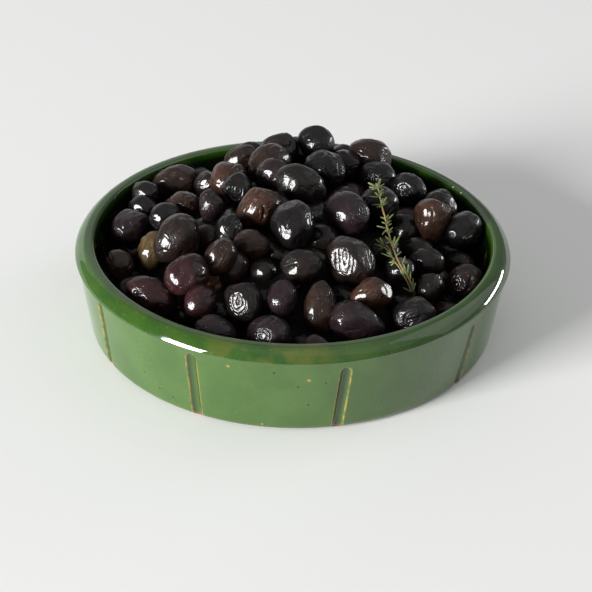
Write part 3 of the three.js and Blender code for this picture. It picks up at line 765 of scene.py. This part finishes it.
# Screen colours of the skins, without their gloss.
KINDS = {
    "black": (24, 19, 17), "ink": (19, 16, 17), "dark": (33, 24, 21), "brown": (44, 30, 24),
    "chestnut": (60, 39, 29), "amber": (98, 58, 30), "purple": (37, 26, 29), "maroon": (46, 23, 25),
    "green": (80, 64, 37),
}
FILL_KINDS = ["black", "ink", "dark", "purple", "brown", "maroon"]
SKIN = Sizes(
    # How often each edge of a 20-sided ball is split.
    splits={"large": 28, "listed": 21, "lower": 12, "filler": 9},
    large=39,  # the least thickness of a large one in steps
    crowding=0.5,  # how far apart the points are round the first mark, as a share
    facets=(6, 11), facet_share=(0.885, 0.97), facet_softness=0.36,
    lump=(0.75, 7.0),  # height and size
    crease=(0.5, 4.0, 0.13),  # depth, size and width as a share of it
    pleat=(0.24, 1.9, 0.5),  # depth, spacing and width as a share of it
    gleams=(0.4, 0.15), gleam_softness=0.05,  # depth of the flats that face the two lights
    ruddy=(44, 27, 21), ruddiness=0.5,
)
MARK = Sizes(
    groove=0.2, rim=0.16, rim_width=0.3,  # in millimetres
    pitch=(3.4, 1.1, 1.7),  # lines in a radius, and the least and most between two of them
    dimple=(0.4, 0.8), fold=(0.9, 0.5, 1.8),  # depth and ring; depth, width and pitch
    hidden=3, hidden_radius=(2.2, 4.4), hidden_kinds=("rings", "flat", "flat", "dimple", "stripes"),
)
# How flat the lines are in a pressed mark, and how far off its middle.
CURVES = {"rings": (0.72, 0.15), "whorl": (0.3, 0.5)}
# How far a pressed mark turns to the nearest light that glints.
TURNED = {"flat": 0, "gleam": 4, "whorl": 0.5, "rings": 0.5}
# The ways to the two lights that glint most, at the left and at the right.
GLINTS = np.array([(-0.78, -0.6, 0.2), (0.866, 0.5, 0.09)])


def axes_of(axis):
    """Rows: two directions across an olive, then its axis."""
    aside = unit(np.cross(axis, (0.31, 0.47, 0.83)))
    return np.array([aside, np.cross(axis, aside), axis])


def ball(splits):
    """Points and triangles of a ball of radius 1: a 20-sided one with each edge split."""
    shape = bmesh.new()
    bmesh.ops.create_icosphere(shape, subdivisions=1, radius=1)
    corners = np.array([spot.co for spot in shape.verts])
    faces = np.array([[spot.index for spot in face.verts] for face in shape.faces])
    shape.free()
    steps = [(i, j) for i in range(splits + 1) for j in range(splits + 1 - i)]
    place = {step: number for number, step in enumerate(steps)}
    shares = np.array([(splits - i - j, i, j) for i, j in steps]) / splits
    points = (shares @ corners[faces]).reshape(-1, 3)
    small = [(place[i, j], place[i + 1, j], place[i, j + 1]) for i, j in steps if i + j < splits]
    small += [
        (place[i + 1, j], place[i + 1, j + 1], place[i, j + 1])
        for i, j in steps if i + j < splits - 1
    ]
    triangles = (np.array(small) + np.arange(len(faces))[:, None, None] * len(steps)).reshape(-1, 3)
    _, first, merged = np.unique(points.round(5), axis=0, return_index=True, return_inverse=True)
    return unit(points[first]), merged.ravel()[triangles]


def crowd(directions, pole):
    """The same directions, closer together round one of them."""
    cosine = np.clip(directions @ pole, -1, 1)
    angle = np.arccos(cosine)
    turned = angle * (SKIN.crowding + (1 - SKIN.crowding) * angle / math.pi)
    aside = directions - cosine[:, None] * pole
    aside /= np.maximum(np.linalg.norm(aside, axis=1, keepdims=True), 1e-9)
    return pole * np.cos(turned)[:, None] + aside * np.sin(turned)[:, None]


def press_flat(points, toward, distance, softness):
    """Points with what is farther out than a distance pressed back to it, with a soft turn."""
    excess = softness * np.logaddexp(0, (points @ toward - distance) / softness)
    return points - toward * excess[:, None]


def valleys(run, pitch, width):
    """1 in narrow valleys, one for each pitch along a run, and 0 on the broad tops between them."""
    return np.exp(-((np.cos(math.pi * run / pitch) / width) ** 2))


def peak(value, width):
    """1 where the value is 0, falling to 0 beyond a width."""
    return np.exp(-((value / width) ** 2))


def marked(points, normals, mark, seed):
    """Points of an olive's skin with one pressed, ridged or folded place worked into it."""
    spot, radius, kind, side, gleam = mark
    random = np.random.default_rng(seed)
    toward = unit(spot)
    aside = points - spot
    aside = aside - (aside @ toward)[:, None] * toward
    side = unit(side - (side @ toward) * toward)
    along = aside @ side
    over = aside @ np.cross(toward, side)
    warp = 0.55 * noise(points / 2.6, seed + 1) + 0.25 * noise(points / 1.1, seed + 2)
    oval = random.uniform(0.8, 1.0)
    away = np.hypot(along / oval, over) * (1 + 0.35 * noise(points / 4, seed)) + 0.5 * warp
    away = np.where(points @ toward > 0, away, FAR)
    broken = smooth(-0.35, 0.1, noise(points / 1.9, seed + 3))
    lines, least, most = MARK.pitch
    pitch = min(max(radius / lines, least), most)
    if kind == "stripes":
        inside = smooth(radius * 1.1, radius * 0.5, away)
        bent = along + 0.12 * over**2 / radius + 2.2 * warp
        rise = -MARK.groove * valleys(bent, pitch, 0.5) * inside * broken
    elif kind == "dimple":
        depth, ring = MARK.dimple
        rise = MARK.rim * peak(away - radius * ring, MARK.rim_width)
        rise -= depth * smooth(radius, 0, away)
    elif kind == "fold":
        depth, width, pitch = MARK.fold
        fan = along + 0.25 * over**2 / radius + 2.0 * warp
        deep = peak(fan, width) - 0.5 * peak(fan - 1.2, 0.7)
        inside = smooth(radius * 1.3, radius * 0.6, away)
        rise = -(depth * deep + 0.3 * valleys(fan, pitch, 0.5)) * inside
    else:
        facing = unit(toward + gleam * TURNED[kind])
        depth = radius**2 / (2 * np.linalg.norm(spot)) * random.uniform(0.9, 1.2)
        distance = max(spot @ facing - depth, (points @ facing).max() - 2 * depth)
        points = press_flat(points, facing, distance, SKIN.facet_softness / 2)
        if kind in CURVES:
            squash, shift = CURVES[kind]
            swirl = np.hypot(along, (over - shift * radius) * squash) + 1.3 * warp
            lines = valleys(swirl, pitch, 0.6) * smooth(radius, radius * 0.88, away)
        else:
            lines = 0.6 * valleys(away, pitch, 0.5) * smooth(radius - 0.5, radius, away)
            patches = smooth(-0.1, 0.2, noise(points / 6, seed + 4))
            lines *= smooth(radius + 3.4, radius + 1, away) * patches
        rise = MARK.rim * peak(away - radius, MARK.rim_width) * broken
        rise -= MARK.groove * lines * (0.25 + 0.75 * broken)
    return points + normals * rise[:, None]


def olive_skin(heap, row, kind, marks, shape, narrow):
    """Points, triangles and tints of one olive."""
    directions, triangles = shape
    random = np.random.default_rng(row + 1)
    axes = axes_of(heap.axis[row])
    sizes = heap.half[row] * np.array([1, 1, heap.plump[row]])
    gleams = unit(unit(GLINTS) + unit(PLACE - heap.middle[row])) @ axes.T
    spots = [axes @ (mark[0] - heap.middle[row]) for mark in marks]
    directions = crowd(directions, unit(spots[0] / sizes))
    points = directions * sizes
    points[:, :2] *= 1 - narrow * directions[:, 2:]
    normals = unit(directions / sizes)
    # Flats where it lay against others.
    for _ in range(random.integers(*SKIN.facets)):
        toward = unit(random.normal(size=3))
        distance = np.linalg.norm(sizes * toward) * random.uniform(*SKIN.facet_share)
        points = press_flat(points, toward, distance, SKIN.facet_softness)
    offset = random.uniform(-50, 50, 3)

    def waves(size, number, squash=1.0):
        return noise(points / size * squash + offset, row + number)

    # Lumps, creases and lengthwise pleats.
    height, size = SKIN.lump
    rise = height * waves(size, 0)
    depth, size, width = SKIN.crease
    rise -= depth * peak(waves(size, 7, (1, 1, 0.45)), width) * smooth(-0.15, 0.3, waves(7, 3))
    depth, pitch, width = SKIN.pleat
    turn = np.arctan2(points[:, 1], points[:, 0]) * heap.half[row]
    pleats = valleys(turn + 2.4 * waves(3, 9), pitch, width)
    ends = smooth(0.97, 0.85, np.abs(directions[:, 2]))
    rise -= depth * pleats * smooth(0.0, 0.3, waves(6, 4)) * ends
    points = points + normals * rise[:, None]
    # Small flats that face the lights, then what this one shows.
    for toward, most in zip(gleams, SKIN.gleams):
        distance = (points @ toward).max() - most * random.uniform(0.3, 1)
        points = press_flat(points, toward, distance, SKIN.gleam_softness)
    for index, (spot, (_, radius, name, side)) in enumerate(zip(spots, marks)):
        mark = spot, radius, name, axes @ side, gleams[np.argmax(gleams @ unit(spot))]
        points = marked(points, normals, mark, row * 10 + index)
    tone = tone_of(KINDS[kind]) * (1 + 0.4 * waves(4.5, 5) + 0.35 * waves(1.3, 6))[:, None]
    ruddy = smooth(0.15, 0.55, waves(6, 8))[:, None] * SKIN.ruddiness
    tone = tone * (1 - ruddy) + tone_of(SKIN.ruddy) * ruddy
    return off_wall(points @ axes + heap.middle[row]), triangles, np.maximum(tone, 0.0005)


def off_wall(points):
    """The same points, with those that would be in the dish's wall moved in."""
    across = np.hypot(points[:, 0], points[:, 1])
    limit = inner_radius_at(points[:, 2]) - CLEARANCE
    below = points[:, 2] < DISH.height - DISH.lip_inner[1]
    points[:, :2] *= np.where(below & (across > limit), limit / across, 1)[:, None]
    return points


def own_marks(heap):
    """The marks of each olive: their place, radius and kind, and the way across their lines."""
    found = [[] for _ in heap.half]
    for kind, (across, down, steps, turn) in each(MARKS):
        sight = sight_line(across, down)
        depths = heap.meets(sight)[0, :len(LISTED)]
        row = int(np.argmin(depths))
        if depths[row] < np.inf:
            size = steps * depths[row] / EYE.steps
            found[row].append((PLACE + sight * depths[row], size, kind, in_window(turn)))
    for row, marks in enumerate(found):
        random = np.random.default_rng(row + 500)
        aim = unit(PLACE - heap.middle[row])
        for _ in range(MARK.hidden):
            toward = unit(random.normal(size=3))
            if toward @ aim > 0.35:
                toward = -toward
            kind = MARK.hidden_kinds[random.integers(len(MARK.hidden_kinds))]
            spot = heap.middle[row] + toward * heap.reach(toward, [row])[0]
            radius = random.uniform(*MARK.hidden_radius)
            marks.append((spot, radius, kind, unit(random.normal(size=3))))
    return found


def olives():
    heap = all_olives()
    count = len(heap.half) - len(LISTED)
    fillers = np.random.default_rng(3).integers(len(FILL_KINDS), size=count)
    kinds = [row[5] for row in LISTED] + [FILL_KINDS[i] for i in fillers]
    marks = own_marks(heap)
    shapes = {size: ball(splits) for size, splits in SKIN.splits.items()}
    skins = {}
    for row, kind in enumerate(kinds):
        size, narrow = "filler", OLIVE.taper
        if row < len(LISTED):
            size = "large" if LISTED[row][3] >= SKIN.large else "listed"
            narrow = (*LISTED[row][6:], narrow)[0]
        if row < len(LOWER_OLIVES):
            size = "lower"
        one = olive_skin(heap, row, kind, marks[row], shapes[size], narrow)
        skins.setdefault(kind, []).append(one)
    made = []
    material = skin()
    for kind, parts in skins.items():
        points, triangles, tint = join(parts)
        made.append(piece(f"olives_{kind}", points, triangles, material, "olive_skin", tint))
    made.append(dark_core())
    for one in made:
        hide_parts("olives")
    return heap


def dark_core():
    """The body under the olives, lumpy like more of them, painted near black as the shade in the gaps
    between them.
    """
    radius, below, foot, back = 72.0, 9.5, 8.0, HEAP.back / 2
    floor = DISH.floor + CLEARANCE

    def top_at(reach):
        return dome_at(reach, HEAP.back) - below

    inward = stretch(radius, 0, 40)[:-1]
    outward = np.append(stretch(0, radius - foot, 12), stretch(radius - foot, radius, 4))
    reach = np.append(outward, inward)
    height = np.concatenate([np.full(12, floor), stretch(floor, top_at(radius), 4), top_at(inward)])
    reach, height, angle = np.broadcast_arrays(
        reach[:, None], height[:, None], np.linspace(0, 2 * math.pi, 120, endpoint=False),
    )
    grid = np.stack([reach * np.sin(angle), back - reach * np.cos(angle), height], -1)
    points, triangles = rings(grid, [(0, back, floor), (0, back, top_at(0))])
    lumps = 1.6 * noise(points / 11, 2) - 0.8
    points[:, 2] += np.where(points[:, 2] > floor + 1, lumps, 0)
    return piece("dark_core", points, triangles, shadow(), "olive_skin")


def shadow():
    paint = Paint("painted_shade_under_olives")
    # Painted shade: near-black colours that stand for the shade deep in the heap.
    tone = paint.mix(paint.ramp(paint.noise(0.2), 0.3, 0.7), linear(6, 5, 5), linear(14, 11, 11))
    paint.set(paint.shader, Base_Color=tone, Roughness=0.7, Specular_IOR_Level=0.1)
    return paint.material


def skin():
    """Oily black skin with thin curled creases, a fine crinkle and pores that glint."""
    paint = Paint("olive_skin")
    curl = paint.noise(0.26, 2.0, 0.5, 1.6)
    off_middle = paint.math("ABSOLUTE", paint.math("SUBTRACT", curl, 0.5), 0.0)
    patches = paint.ramp(paint.noise(0.14, 1.0), 0.42, 0.58)
    crease = paint.math("MULTIPLY", paint.ramp(off_middle, 0.0, 0.02, 1.0, 0.0), patches)
    fine = paint.noise(0.45, 2.0, 0.55, 0.6)
    spots = paint.make("ShaderNodeTexVoronoi", Vector=paint.place, Scale=0.42 / MM)
    pores = paint.ramp(spots.outputs["Distance"], 0.04, 0.12, 1.0, 0.0)
    coarse = paint.bump(crease, -0.1, 0.5)
    medium = paint.bump(fine, 0.1, 0.4, coarse)
    small = paint.bump(pores, 0.08, 0.5, medium)
    tone = paint.mix(paint.ramp(fine, 0.3, 0.7, 0.0, 0.35), paint.tint(), linear(9, 8, 7))
    paint.set(
        paint.shader, Base_Color=tone, Roughness=0.4, Normal=small, Specular_IOR_Level=0.1,
        Coat_Weight=0.4, Coat_Roughness=0.02, Coat_Normal=small, Coat_IOR=1.6,
    )
    return paint.material


# ---------- the thyme ----------

STEMS = [
    (0.42, [
        (378, 188), (380, 197), (382, 207), (385, 217), (386.5, 225), (389, 234), (391, 242), (394, 250),
        (397, 258), (401, 266), (406, 273), (410, 281), (413.5, 291),
    ]),
    (0.32, [
        (377, 240.5), (383, 246), (388, 251), (392, 256), (395, 262), (399, 267), (403, 274), (407, 281),
        (411, 291.5),
    ]),
]
# Each leaf: across and down the window at its foot and its tip, and its width in steps.
LEAVES = [
    (378, 188, 368, 182.5, 2.6), (377.5, 189, 369, 187, 1.8), (378, 187.5, 380.5, 178.5, 2.8),
    (378, 188, 384.5, 183.5, 1.2), (379.5, 192.5, 384, 188.8, 1.6), (379.5, 195, 384, 191.8, 1.6),
    (379, 196, 374.5, 191.8, 1.4), (379.5, 197.3, 367.5, 196.3, 1.5), (381, 205, 383, 198, 1.7),
    (381.3, 205.3, 386.8, 197, 2.2), (381.5, 206, 387, 202.5, 1.6), (380.5, 204.5, 371.5, 204.8, 1.6),
    (381, 205.5, 376, 207.5, 1.4), (386, 219.5, 388.5, 214, 1.5), (387, 220.5, 393.5, 214, 1.5),
    (386.5, 223, 391.5, 220.5, 1.3), (386.5, 226.5, 392, 223.5, 1.3), (385.5, 219, 380.5, 217, 1.3),
    (386.5, 224, 381.5, 222, 1.4), (387, 228.5, 376.5, 226, 1.5), (388, 232, 393, 227, 1.3),
    (388.5, 233, 392.5, 231, 1.3), (387, 229, 382, 235, 1.4), (393, 246.5, 395, 236, 1.7),
    (393.5, 247, 400.8, 234.3, 1.8), (393.5, 247, 398.5, 243.5, 1.5), (391, 242, 396, 240.5, 1.3),
    (390.5, 241.5, 385, 236, 1.4), (384, 246.5, 380, 237.5, 1.6), (382.5, 245.5, 376, 239, 1.5),
    (384, 247.5, 374, 244, 1.5), (390.5, 241.5, 385.5, 243.5, 1.3), (391, 251, 386, 245, 1.5),
    (392, 253.5, 386, 249, 1.5), (392.5, 256.5, 386.5, 252, 1.4), (392.5, 257.5, 380.5, 253, 1.3),
    (396, 256, 401.5, 251.5, 1.4), (394.5, 262, 389, 262.5, 1.3), (395, 262.5, 390.5, 265.5, 1.3),
    (401.5, 266.5, 405.2, 256, 1.3), (407.5, 275.5, 408.5, 264, 1.8), (406, 274, 403.5, 264, 1.8),
    (404, 275, 402, 268, 1.7), (404, 276, 400, 270.5, 1.4), (410, 281, 410.5, 271, 1.7),
    (412.5, 287, 413, 278, 1.4), (413.5, 290, 415.5, 282.5, 1.2), (411, 292, 403, 287.5, 1.2),
]
SPRIG = Sizes(
    rounds=60, slack=0.15, samples=12, leaf=0.5, drop=0.6, spread=0.7, short=0.55, rings=90, sides=12,
    bark=(168, 146, 92), bark_end=(112, 84, 52), green=(87, 102, 51), vein=(176, 182, 112),
)
BLADE = Sizes(along=13, across=7, thick=0.16, lift=0.5, cup=0.35, vein=0.12, wave=0.12)


def spline(points, samples):
    """A smooth run through points, at even shares of its count."""
    points = np.array(points, float)
    last = len(points) - 1
    made = []
    for share in np.linspace(0, 1, samples + 1):
        whole = min(int(share * last), last - 1)
        part = share * last - whole
        near = np.clip(np.arange(whole - 1, whole + 3), 0, last)
        before, start, end, after = points[near]
        into, out = (end - before) / 2, (after - start) / 2
        made.append(
            (2 * start - 2 * end + into + out) * part**3
            + (3 * end - 3 * start - 2 * into - out) * part**2 + into * part + start
        )
    return np.array(made)


def stem_run(heap, radius, route):
    """A stem's run of points, over what lies below its route in the window."""
    sights = [sight_line(*spot) for spot in spline(route, SPRIG.samples)]
    limits = np.array([min(heap.meets(sight).min(), resting_depth(sight, 0)) for sight in sights])
    limits -= radius + CLEARANCE
    depths = limits.copy()
    for _ in range(SPRIG.rounds):
        for i in range(1, len(depths) - 1):
            depths[i] = min(limits[i], (depths[i - 1] + depths[i + 1]) / 2 + SPRIG.slack)
    return PLACE + np.array(sights) * depths[:, None]


def tube(run, radii, tones):
    """A round stem along a run of points."""
    way = unit(np.gradient(run, axis=0))
    aside = unit(np.cross(way, AHEAD))
    over = np.cross(way, aside)
    angle = np.linspace(0, 2 * math.pi, SPRIG.sides, endpoint=False)
    ring = aside[:, None] * np.cos(angle)[:, None] + over[:, None] * np.sin(angle)[:, None]
    points, triangles = rings(run[:, None] + ring * radii[:, None, None], run[[0, -1]])
    return points, triangles, np.vstack([np.repeat(tones, SPRIG.sides, 0), tones[[0, -1]]])


def leaf(heap, runs, row, number):
    """A small blade with rolled edges and a vein, from its foot on a stem to its tip."""
    foot_sight, tip_sight = sight_line(*row[:2]), sight_line(*row[2:4])
    spots = np.vstack(runs)
    apart = [((sight_to(spot) - foot_sight) ** 2).sum() for spot in spots]
    foot_depth = (spots[int(np.argmin(apart))] - PLACE) @ AHEAD
    foot = PLACE + foot_sight * foot_depth
    limit = heap.meets(tip_sight).min() - CLEARANCE - SPRIG.leaf
    tip = PLACE + tip_sight * min(limit, foot_depth + SPRIG.drop)
    random = np.random.default_rng(number)
    along = tip - foot
    side = unit(np.cross(-AHEAD, along))
    over = unit(np.cross(along, side))
    half = row[4] * EYE.distance / EYE.steps / 2 * random.uniform(0.95, 1.25)
    size = BLADE.along, BLADE.across
    share = np.linspace(0, 1, size[0])[:, None]
    hand = np.linspace(-1, 1, size[1])[None, :]
    swell = np.sin(math.pi * np.clip(share, 0.02, 1) ** 0.8) ** 0.7
    broad = half * (0.22 + 0.78 * swell) * (share < 1) + 0.02
    lift = BLADE.lift * np.sin(math.pi * share) * random.uniform(0.2, 1.0)
    cup = -BLADE.cup * hand**2 * broad - BLADE.vein * peak(hand, 0.3)
    wave = BLADE.wave * np.sin(6 * share + random.uniform(0, 6)) * hand
    flat = foot + share[..., None] * along + (hand * broad)[..., None] * side
    faces = []
    for thick in (BLADE.thick, -BLADE.thick):
        rise = lift + cup + wave + thick * (1 - hand**4 * 0.8) * (1 - share**6 * 0.8)
        faces.append((flat + rise[..., None] * over).reshape(-1, 3))
    index = np.arange(hand.size * share.size).reshape(size)
    upper = halves(index[:-1, :-1], index[:-1, 1:], index[1:, 1:], index[1:, :-1])
    rim = np.concatenate([index[0], index[1:, -1], index[-1, -2::-1], index[-2:0:-1, 0]])
    beyond = np.roll(rim, -1)
    band = halves(rim, rim + index.size, beyond + index.size, beyond)
    triangles = np.vstack([upper, upper[:, ::-1] + index.size, band])
    green = tone_of(SPRIG.green) * random.uniform(0.65, 1.35)
    pale = np.clip(0.5 * smooth(0.75, 1.0, share) + 0.3 * peak(hand, 0.2), 0, 1).reshape(-1, 1)
    tone = green * (1 - pale) + tone_of(SPRIG.vein) * pale
    return np.vstack(faces), triangles, np.vstack([tone, tone * 1.15])


def small_leaf(row, number):
    """A short leaf beside one of those listed, turned to one side or the other."""
    across, down, tip_across, tip_down, width = row
    turn = SPRIG.spread if number % 2 else -SPRIG.spread
    right, below = (tip_across - across) * SPRIG.short, (tip_down - down) * SPRIG.short
    return (
        across, down, across + right * math.cos(turn) - below * math.sin(turn),
        down + right * math.sin(turn) + below * math.cos(turn), width * 0.85,
    )


def thyme(heap):
    runs = [stem_run(heap, radius, route) for radius, route in STEMS]
    parts = []
    for (radius, _), run in zip(STEMS, runs):
        fine = spline(run, SPRIG.rings)
        share = np.linspace(0, 1, len(fine))[:, None]
        thick = radius * (0.8 + 0.2 * share[:, 0]) * (1 + 0.12 * noise(fine / 1.8, 9))
        tones = tone_of(SPRIG.bark) * (1 - share) + tone_of(SPRIG.bark_end) * share
        parts.append(tube(fine, thick, tones))
    small = [small_leaf(row, number) for number, row in enumerate(LEAVES) if number % 5 in (0, 2)]
    parts += [leaf(heap, runs, row, number) for number, row in enumerate(LEAVES + small)]
    points, triangles, tint = join(parts)
    made = piece("thyme", points, triangles, herb(), "thyme", tint)
    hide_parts("thyme_sprig")


def herb():
    paint = Paint("thyme")
    speck = paint.noise(1.6)
    tone = paint.mix(paint.ramp(speck, 0.35, 0.7, 0.0, 0.45), paint.tint(), linear(84, 96, 58))
    paint.set(
        paint.shader, Base_Color=tone, Roughness=0.55, Normal=paint.bump(speck, 0.12, 0.4),
        Subsurface_Weight=0.15, Subsurface_Scale=MM,
    )
    return paint.material


# ---------- the stage ----------


def floor():
    mesh = bpy.data.meshes.new("floor")
    half = 6.0
    corners = [(-half, -half, 0), (half, -half, 0), (half, half, 0), (-half, half, 0)]
    mesh.from_pydata(corners, [], [(0, 1, 2, 3)])
    ground = add("floor", mesh)
    paint = Paint("pale_floor")
    paint.set(paint.shader, Base_Color=linear(239, 239, 237), Roughness=0.8)
    mesh.materials.append(paint.material)


# Each light: the way to it, its width and height in metres, and its strength in watts.
LIGHTS = {
    "key": ((-0.78, -0.6, 0.215), (1.85, 2.15), 600),
    "top": ((0.35, 0.0, 1.0), (8.0, 8.0), 36),
    "front": ((0.0, -0.75, 0.65), (7.0, 6.0), 14),
    "fill": ((0.866, 0.5, 0.12), (2.1, 0.45), 58),
    "back": ((-0.25, 0.95, 0.15), (6.5, 1.6), 21),
    "wall": ((-0.38, 0.8, 0.5), (5.2, 2.8), 13),
    "side": ((0.9, 0.2, 0.7), (4.5, 4.0), 24),
}
LIGHT_DISTANCE = 5.0
LIGHT_AIM = Vector((0, 0, 0.03))


def lights():
    for name, (toward, size, strength) in LIGHTS.items():
        data = bpy.data.lights.new(name, "AREA")
        data.shape = "RECTANGLE"
        data.size, data.size_y = size
        data.energy = strength
        lamp = add(name, data)
        way = Vector(toward).normalized()
        lamp.location = way * LIGHT_DISTANCE + LIGHT_AIM
        lamp.rotation_euler = way.to_track_quat("Z", "Y").to_euler()
    world = bpy.data.worlds.new("studio")
    world.use_nodes = True
    sky = world.node_tree.nodes["Background"]
    sky.inputs["Color"].default_value = (0.96, 0.98, 1.0, 1.0)
    sky.inputs["Strength"].default_value = 0.26
    bpy.context.scene.world = world
    bpy.context.scene.view_settings.view_transform = "Standard"


camera()
dish()
heap = olives()
thyme(heap)
floor()
lights()
